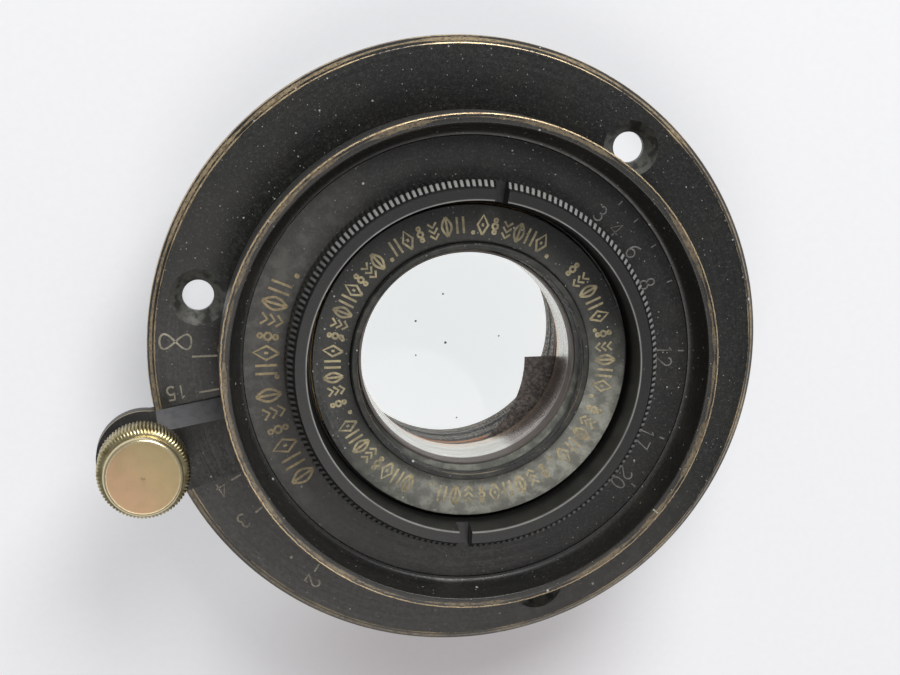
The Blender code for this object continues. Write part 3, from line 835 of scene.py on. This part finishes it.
def cap_copper(at):
    """Worn face, coppery on one side and greenish gold on the other, with a polished edge."""
    g = Graph("knob_cap_copper")
    x, y = g.split(g.seen_from(*at))[:2]
    edge = g.clamp(g.multiply(g.length(x, y), 1 / MM), 3.40, 3.58)
    mottled = g.clamp(g.noise(0.7, 5.0), 0.35, 0.7)
    fine = g.noise(4.0, 4.0)
    slant = g.multiply(g.add(g.multiply(x, 0.75), g.multiply(y, 0.65)), 1 / MM)
    side = g.clamp(g.add(slant, g.multiply(mottled, 1.2)), -2.2, 3.2)
    face = g.mix(side, (0.375, 0.250, 0.150), (0.330, 0.265, 0.140))
    face = g.mix(g.multiply(mottled, 0.35), face, (0.29, 0.20, 0.12))
    shade = g.mix(edge, face, (0.70, 0.60, 0.38))
    rough = g.blend(edge, g.blend(fine, 0.36, 0.52), 0.24)
    return g.finish(shade, rough, 0.85, g.bump(fine, 0.12))


# ---------------------------------------------------------------- barrel, dish and front cell
def dish_edges():
    return [(DISH_R, RIM_Z - 0.04, 0.25, 1.0, 0.8), (RIM_IN_R, RIM_Z, 0.09, 0.35, 0.5),
            (DISH_R - 0.40, RIM_Z, 0.42, 0.22, 0.0), (DISH_R, LIP_Z, 0.2, 0.8, 0.2)]


def make_dish():
    coat = lacquer("dish_lacquer", dish_edges(), dust=1.6, tone=(0.0165, 0.0160, 0.0145))
    cove = []
    floor_r = SCALE_R + 0.24
    for i in range(13):
        angle = math.pi / 2 * i / 12
        across, down = (RIM_IN_R - floor_r) * math.cos(angle), (RIM_Z - SCALE_Z) * math.sin(angle)
        cove.append((floor_r + across, RIM_Z - down))
    outer = [(RIM_IN_R + 0.05, RIM_Z), (DISH_R, RIM_Z), (DISH_R, LIP_Z), (22.2, LIP_Z), (21.6, HUB_Z),
             (16.7, HUB_Z), (16.7, 9.1), (floor_r, 9.1)]
    profile = rounded(outer, 0.12, 4) + cove[::-1]
    add_piece("front_dish_fine", turned_mesh("dish", profile, FINE_STEPS), "barrel", "front_dish", coat)
    mark = [tick(math.radians(321.0), RIM_IN_R + 0.12, RIM_IN_R + 0.75)]
    engraving("index_mark", mark, RIM_Z, 0.16, "barrel", inlay("index_fill", (0.5, 0.47, 0.38)))


def make_barrel():
    paint("barrel_tube", brass("barrel_brass", grime=0.35))


def make_scale_plate():
    coat = lacquer("scale_lacquer", dust=1.6, patina=0.06, tone=(0.0045, 0.0045, 0.0041), rough=0.36,
                   side_lightening=(3.4, (0.100, 0.096, 0.086), 0.78, 0.0, 0.9))
    plate = washer(SCALE_R + 0.19, 15.3, SCALE_Z - 0.5, SCALE_Z)
    turned("scale_plate_fine", plate, "iris_control", "scale_plate", coat, corner=0.06)
    faint = inlay("diaphragm_fill", (0.20, 0.195, 0.18), worn=0.5)
    strokes = []
    marks = [("3", 48.1, 18.95, 46.0), ("4", 41.5, 19.0, 39.7), ("6", 33.1, 19.1, 31.3),
             ("8", 22.6, 18.9, 20.8), ("12", 0.3, 19.35, 1.6), ("17", 335.4, 19.4, 337.2),
             ("20", 322.0, 19.6, 322.3)]
    for text, degrees, radius, tick_degrees in marks:
        angle = math.radians(degrees)
        strokes += label(text, polar(radius, angle), angle - math.pi / 2, 1.5)
        strokes.append(tick(math.radians(tick_degrees), 20.75, 21.3))
    engraving("diaphragm_scale", strokes, SCALE_Z, 0.17, "iris_control", faint)
    brassy = inlay("plate_ornament_fill", (0.30, 0.235, 0.13), worn=0.3)
    strokes = border([(217.5, 187.0), (184.5, 156.0)], 19.5, 2.5, 1.75)
    engraving("plate_ornament", strokes, SCALE_Z, 0.29, "iris_control", brassy)


def ring_wave(radius, angle):
    """Fine straight knurl on the ring's wall, ending in small beads on its bevel."""
    if radius < BEAD_IN_R:
        return radius
    tooth = abs(math.sin(angle * TOOTH_COUNT / 2))
    fade = min(1.0, (radius - BEAD_IN_R) / 0.25)
    return radius - 0.17 * fade * (1 - tooth) ** 1.1


def ring_finish():
    """Black lacquer with the knurl's beads and the bore's edge rubbed bright, the beads also carrying a
    painted highlight on the side facing about 35 degrees.
    """
    g = Graph("ring_lacquer")
    radius, angle, height = g.cylindrical()
    grit = g.noise(8.0, 4.0)
    broad = g.noise(0.35, 4.0)
    base = g.mix(g.clamp(grit, 0.45, 0.75), (0.0060, 0.0060, 0.0056), (0.024, 0.024, 0.022))
    wave = g.math("ABSOLUTE", g.math("SINE", g.multiply(angle, TOOTH_COUNT / 2)))
    crest = g.clamp(wave, 0.55, 0.92)
    band = g.multiply(g.clamp(radius, BEAD_IN_R, BEAD_IN_R + 0.10),
                      g.clamp(height, RING_BEVEL_Z - 0.15, RING_BEVEL_Z + 0.02))
    # Painted highlight: the next lines make the beads brightest, with some cloudy variation, on the side
    # facing about 35 degrees, where they would catch the light, and dim them to a sixth of that on the far
    # side.
    lit_side = g.math("COSINE", g.minus(angle, 0.62))
    rubbed = g.clamp(g.add(lit_side, g.multiply(broad, 0.5)), -0.35, 0.45)
    beads = g.multiply(g.multiply(band, crest), g.blend(rubbed, 0.16, 1.0))
    bore = g.clamp(radius, RING_BORE_TOP_R + 0.18, RING_BORE_TOP_R + 0.04)
    bore = g.multiply(bore, g.multiply(broad, 0.8))
    # The bright metal here is wear on the bore's edge and on the beads, and on the beads also the painted
    # highlight.
    worn = g.larger(beads, g.multiply(bore, g.clamp(height, RING_TOP_Z - 0.3, RING_TOP_Z - 0.1)))
    colour = g.mix(worn, base, g.mix(broad, (0.62, 0.62, 0.60), (0.44, 0.44, 0.41)))
    speck = g.specks(1.6, 0.12, 0.07)
    colour = g.mix(g.multiply(speck, 0.8), colour, DUST)
    return g.finish(colour, g.blend(worn, 0.36, 0.32), g.multiply(worn, 0.55), g.bump(grit, 0.2))


def make_iris_ring():
    face = [(RING_BORE_TOP_R, RING_TOP_Z)]
    slope = []
    for t in range(6):
        out, down = (RING_R - RING_TOP_R) * t / 6, (RING_TOP_Z - RING_BEVEL_Z) * t / 6
        slope.append((RING_TOP_R + out, RING_TOP_Z - down))
    wall = [(RING_R, RING_BEVEL_Z), (RING_R, RING_BEVEL_Z - 1.1), (RING_R, RING_LOW_Z + 0.3),
            (RING_R - 0.3, RING_LOW_Z), (RING_BORE_R, RING_LOW_Z)]
    mesh = turned_mesh("ring", face + slope + wall, TOOTH_COUNT * 6, True, ring_wave)
    ring = add_piece("iris_ring_fine", mesh, "iris_control", "iris_ring", ring_finish(),
                     40.0)
    for degrees in SLOT_ANGLES:
        angle = math.radians(degrees)
        slot = box_mesh((4.0, SLOT_WIDTH, 3.4), (*polar(16.95, angle), 13.5), angle)
        reshape(ring, [("DIFFERENCE", slot)])


def make_front_cell():
    coat = lacquer("cell_lacquer", dust=2.0, tone=GREY_BLACK, side_lightening=(-1.15, (0.34, 0.34, 0.29), 0.87))
    wall_r = CELL_WALL_TOP_R + 0.25
    bore = BEZEL_R + 0.04
    turned("front_cell_fine", [
        (FACE_R, FACE_Z), (FACE_R, 10.0), (13.1, 9.6), (13.1, 3.6), (SNOUT_R, 3.6), (SNOUT_R, SNOUT_Z),
        (wall_r + 0.02, SNOUT_Z), (wall_r + 0.02, CELL_LEDGE_Z - 0.1), (bore, CELL_LEDGE_Z),
        (bore, FACE_Z)], "barrel", "front_cell", coat, corner=0.08)
    turned("cell_lining", [
        (wall_r, SNOUT_Z + 0.03), (SNOUT_BORE_R, SNOUT_Z + 0.03), (CELL_WALL_TOP_R, CELL_LEDGE_Z - 0.03),
        (wall_r, CELL_LEDGE_Z - 0.03)], "barrel", None, cell_wall(), corner=0.05)
    dark = lacquer("bezel_lacquer", [(BEZEL_BORE_R, BEZEL_Z - 0.05, 0.12, 0.35, 0.3)], dust=2.2,
                   patina=0.35, tone=GREY_BLACK, rough=0.50)
    turned("front_bezel_fine", [
        (BEZEL_R - 0.1, BEZEL_Z), (BEZEL_R, BEZEL_Z - 0.2), (BEZEL_R, 10.2), (BEZEL_BORE_R, 10.2),
        (BEZEL_BORE_R, BEZEL_Z - 0.1), (BEZEL_BORE_R + 0.1, BEZEL_Z)], "barrel", "front_bezel", dark,
        corner=0.08)
    brassy = inlay("face_ornament_fill", (0.42, 0.355, 0.21))
    runs = [(246.0, 205.0), (200.0, 172.0), (171.0, 130.0), (126.0, 92.0), (88.0, 57.0), (45.0, 16.0),
            (14.0, -14.0), (-19.0, -48.0), (-53.0, -104.0)]
    strokes = border(runs, 13.25, 1.9, 1.25)
    engraving("face_ornament", strokes, FACE_Z, 0.27, "barrel", brassy)


def cell_wall():
    """Bright turned wall inside the cell, seen through the front glass, with a painted dark brown
    reflection over its upper part.
    """
    g = Graph("cell_wall")
    radius, angle, height = g.cylindrical()
    bands = g.streaks(g.multiply(height, 3.0), g.multiply(radius, 3.0), g.multiply(angle, 0.4), 2.0)
    smear = g.clamp(g.noise(0.3, 4.0), 0.45, 0.7)
    shade = g.mix(g.clamp(bands, 0.35, 0.7), (0.80, 0.785, 0.745), (0.70, 0.67, 0.61))
    shade = g.mix(g.multiply(smear, 0.2), shade, (0.55, 0.47, 0.40))
    stained = g.clamp(g.add(g.math("COSINE", g.add(angle, 0.60)), g.multiply(smear, 0.04)), 0.84, 0.91)
    shade = g.mix(g.multiply(stained, 0.9), shade, (0.30, 0.245, 0.225))
    # Painted reflection: above about 7.5 mm the wall is painted dark brown, less metallic and rougher,
    # standing in for the brown reflection that bounds the bright wall.
    upper = g.clamp(height, 7.35, 7.75)
    shade = g.mix(g.multiply(upper, 0.92), shade, (0.13, 0.105, 0.09))
    warm = g.multiply(g.clamp(height, 4.4, 3.0), g.blend(smear, 0.75, 0.45))
    shade = g.mix(warm, shade, (0.92, 0.70, 0.50))
    return g.finish(shade, g.blend(upper, 0.27, 0.5), g.blend(upper, 0.80, 0.3))


# ---------------------------------------------------------------- glass
def glass(name, shine, dirt_share):
    """Clear glass with a few specks of dirt."""
    g = Graph(name)
    clear = g.tree.nodes.new("ShaderNodeBsdfTransparent")
    clear.inputs[0].default_value = (0.990, 0.993, 0.992, 1.0)
    gloss = g.tree.nodes.new("ShaderNodeBsdfGlossy")
    gloss.inputs["Color"].default_value = (1.0, 1.0, 1.0, 1.0)
    gloss.inputs["Roughness"].default_value = 0.02
    dirt = g.tree.nodes.new("ShaderNodeBsdfDiffuse")
    dirt.inputs[0].default_value = (0.10, 0.09, 0.08, 1.0)
    fresnel = g.tree.nodes.new("ShaderNodeFresnel")
    fresnel.inputs["IOR"].default_value = 1.5
    specks = g.larger(g.specks(0.75, 0.16 * dirt_share, 0.085),
                      g.specks(0.42, 0.22 * dirt_share, 0.060, 17.0))
    shader = clear.outputs[0]
    for share, over in ((g.multiply(fresnel.outputs[0], shine), gloss), (specks, dirt)):
        mixed = g.tree.nodes.new("ShaderNodeMixShader")
        for socket, value in zip(mixed.inputs, (share, shader, over.outputs[0])):
            g.feed(socket, value)
        shader = mixed.outputs[0]
    g.feed(g.output.inputs[0], shader)
    return g.material


def cap(radius, edge, middle, count=14):
    """Points of a shallow spherical cap from the axis out to its edge."""
    sag = middle - edge
    curve_r = (radius ** 2 + sag ** 2) / (2 * abs(sag))
    points = []
    for i in range(count + 1):
        r = radius * i / count
        drop = curve_r - math.sqrt(curve_r ** 2 - r ** 2)
        points.append((r, middle - math.copysign(drop, sag)))
    return points


def make_glass():
    """Elements, each by the heights of its front edge and middle and of its back edge and middle."""
    outer = glass("lens_glass_front", 0.13, 1.3)
    inner = glass("lens_glass_inside", 0.06, 0.0)
    elements = {
        "front_glass_outer": (9.9, 11.4, 9.3, 10.3, outer),
        "front_glass_inner": (8.8, 9.8, 7.6, 8.6, inner),
        "rear_glass_inner": (-2.5, -3.5, -3.7, -4.7, inner),
        "rear_glass_outer": (-4.9, -5.9, -6.4, -8.2, inner)}
    for node, (edge, middle, back_edge, back_middle, finish) in elements.items():
        radius = reach(node) - 0.01 if node.startswith("front") else REAR_WALL_R - 0.06
        profile = cap(radius, edge, middle) + cap(radius, back_edge, back_middle)[::-1]
        mesh = turned_mesh(node, profile, 96, closed=False)
        add_piece(node + "_fine", mesh, "barrel", node, finish)


def inner_dark():
    """Old brown-grey blacking inside the tubes, freckled where it has flaked."""
    g = Graph("rear_cell_blacking")
    radius, angle, height = g.cylindrical()
    grit = g.streaks(g.multiply(angle, 60.0), g.multiply(height, 1.1), g.multiply(radius, 6.0), 3.0, 0.8)
    broad = g.clamp(g.noise(0.5, 3.0), 0.35, 0.65)
    shade = g.mix(g.clamp(grit, 0.44, 0.58), (0.055, 0.047, 0.040), (0.50, 0.46, 0.38))
    shade = g.mix(g.multiply(broad, 0.35), shade, (0.22, 0.15, 0.10))
    freckles = g.larger(g.specks(2.6, 0.5, 0.16), g.specks(4.5, 0.5, 0.12, 23.0))
    shade = g.mix(g.multiply(freckles, 0.8), shade, (0.72, 0.69, 0.60))
    rust = g.clamp(height, -2.0, -0.7)
    shade = g.mix(g.multiply(rust, 0.85), shade, (0.46, 0.19, 0.08))
    return g.finish(shade, 0.62, 0.1, g.bump(grit, 0.3))


def make_rear_cell():
    coat = inner_dark()
    low, top = low_z("rear_cell"), high_z("rear_cell")
    turned("rear_cell_fine", [
        (BARREL_FIT_R, top), (BARREL_FIT_R, top - 1.0), (13.2, top - 1.4), (13.2, low + 0.3), (12.9, low),
        (REAR_BORE_R, low), (REAR_BORE_R, REAR_LEDGE_Z), (REAR_WALL_R, REAR_LEDGE_Z), (REAR_WALL_R, top)],
        "barrel", "rear_cell", coat, corner=0.08)
    plate = washer(BARREL_FIT_R, 10.45, low_z("iris_base_plate"), high_z("iris_base_plate"))
    turned("iris_base_plate_fine", plate, "barrel", "iris_base_plate", coat, corner=0.05)
    bezel_r = reach("rear_bezel")
    bezel_top = REAR_LEDGE_Z - 0.15
    turned("rear_bezel_fine", [
        (bezel_r, bezel_top), (bezel_r, low + 0.3), (bezel_r - 0.3, low), (11.0, low), (11.0, bezel_top)],
        "barrel", "rear_bezel", coat, corner=0.08)


# ---------------------------------------------------------------- diaphragm
def blade_steel():
    """Brown oxide on thin steel, rubbed and freckled."""
    g = Graph("blade_steel")
    broad = g.clamp(g.noise(0.5, 5.0), 0.35, 0.7)
    fine = g.clamp(g.noise(3.2, 4.0, roughness=0.7), 0.42, 0.64)
    shade = g.mix(broad, (0.085, 0.066, 0.058), (0.036, 0.027, 0.025))
    shade = g.mix(g.multiply(fine, 0.7), shade, (0.27, 0.235, 0.215))
    speck = g.specks(2.0, 0.2, 0.08)
    shade = g.mix(speck, shade, (0.26, 0.25, 0.22))
    return g.finish(shade, g.blend(fine, 0.42, 0.58), 0.25, g.bump(fine, 0.15))


def blade_outline(span):
    """A curved strip with a squared far end and a round pivot end."""
    centre = (-BLADE_PIVOT_R, 0.0)
    return (bend(*centre, BLADE_IN_R, BLADE_IN_R, span, -2, 40) + bend(0, 0, 0.95, 0.95, -110, 70, 12)
            + bend(*centre, BLADE_OUT_R, BLADE_OUT_R, 7, span, 40))


def make_blades():
    """Ten blades, of which one has slipped inwards and shows a shorter strip."""
    steel = blade_steel()
    for k in range(BLADE_COUNT):
        node = f"iris_blade_{k + 1}"
        top = high_z(node)
        angle = BLADE_FIRST_ANGLE + 2 * math.pi * k / BLADE_COUNT
        slipped = k + 1 == SLIPPED_BLADE
        mesh = slab_mesh(node, blade_outline(SLIPPED_SPAN if slipped else BLADE_SPAN), top - BLADE_T, top)
        turn = angle + (SLIPPED_TURN if slipped else 0.0)
        pivot = (*polar(BLADE_PIVOT_R * MM, angle), 0)
        mesh.transform(Matrix.Translation(pivot) @ Matrix.Rotation(turn, 4, "Z"))
        add_piece(node + "_fine", mesh, f"blade_{k + 1}", node, steel, 30.0)


# ---------------------------------------------------------------- floor, light and camera
def make_floor():
    """Pale paper, which glows a little under the lens so that its openings look bright, and glows less,
    tinted pinkish, in a painted soft shadow below the lens.
    """
    shape = bmesh.new()
    bmesh.ops.create_grid(shape, x_segments=2, y_segments=2, size=1.2)
    mesh = finished_mesh("floor", shape)
    floor = bpy.data.objects.new("floor", mesh)
    floor.location = (0, 0, (FLOOR_Z - 0.02) * MM)
    bpy.context.scene.collection.objects.link(floor)
    g = Graph("floor_paper")
    radius = g.cylindrical()[0]
    grain = g.noise(1.2, 3.0)
    shade = g.mix(grain, (0.47, 0.47, 0.48), (0.51, 0.51, 0.52))
    mesh.materials.append(g.finish(shade, 0.8, 0.0, g.bump(grain, 0.05)))
    # Painted shadow: a soft pinkish patch below the lens where the paper glows less.
    x, y = g.split(g.seen_from(2.0, -36.0))[:2]
    painted_shadow = g.clamp(g.multiply(g.length(g.multiply(x, 0.5), y), 1 / MM), 15.0, 2.0)
    g.feed(g.shader.inputs["Emission Color"], g.mix(painted_shadow, (0.97, 0.98, 1.0), (1.0, 0.90, 0.90)))
    glow = g.blend(painted_shadow, 0.385, 0.18)
    glow = g.add(glow, g.multiply(g.clamp(radius, 21.5, 19.5), 0.37))
    glow = g.add(glow, g.multiply(g.clamp(radius, 31.0, 26.0), 0.13))
    # Painted light: more glow on the floor seen through the left screw hole, which lies in the mount's
    # shadow.
    hole = Vector(polar(HOLE_CIRCLE_R, math.radians(HOLE_ANGLES[1])))
    x, y = g.split(g.seen_from(*(hole + CAMERA_FROM.xy / CAMERA_FROM.z * FLOOR_Z)))[:2]
    spot = g.clamp(g.multiply(g.length(x, y), 1 / MM), 4.6, 1.6)
    g.feed(g.shader.inputs["Emission Strength"], g.add(glow, g.multiply(spot, 0.16)))


def area_light(name, at, size, energy, colour=(1, 1, 1)):
    lamp = bpy.data.lights.new(name, "AREA")
    lamp.shape = "DISK"
    lamp.size = size
    lamp.energy = energy
    lamp.color = colour
    holder = bpy.data.objects.new(name, lamp)
    holder.location = at
    holder.rotation_euler = (-Vector(at)).to_track_quat("-Z", "Y").to_euler()
    bpy.context.scene.collection.objects.link(holder)


def make_lights():
    world = bpy.data.worlds.new("studio")
    world.use_nodes = True
    world.node_tree.nodes["Background"].inputs[0].default_value = (0.93, 0.95, 1.0, 1.0)
    world.node_tree.nodes["Background"].inputs[1].default_value = 0.27
    bpy.context.scene.world = world
    bpy.context.scene.view_settings.view_transform = "Standard"
    area_light("window", (0.12, 0.45, 0.42), 0.36, 3.6)
    area_light("panel", (-0.06, -0.25, 0.52), 0.38, 0.95, (1.0, 0.97, 0.94))


def make_camera():
    turn = Vector((0, 0, 1)).rotation_difference(CAMERA_FROM)
    aim = Vector((0, 0, FLANGE_T)) + turn @ Vector((*CAMERA_ASIDE, 0.0))
    lens = bpy.data.cameras.new("camera")
    lens.lens = CAMERA_LENS
    lens.sensor_width = 36.0
    lens.clip_start = 0.01
    camera = bpy.data.objects.new("camera", lens)
    camera.rotation_mode = "QUATERNION"
    camera.rotation_quaternion = turn
    camera.location = (aim + CAMERA_FROM * CAMERA_DISTANCE) * MM
    bpy.context.scene.collection.objects.link(camera)
    bpy.context.scene.camera = camera


make_camera()
make_lights()
make_floor()
make_flange()
make_distance_scale()
make_housing()
make_lever()
make_knob()
make_dish()
make_barrel()
make_scale_plate()
make_iris_ring()
make_front_cell()
make_glass()
make_rear_cell()
make_blades()
paint_carried_over()
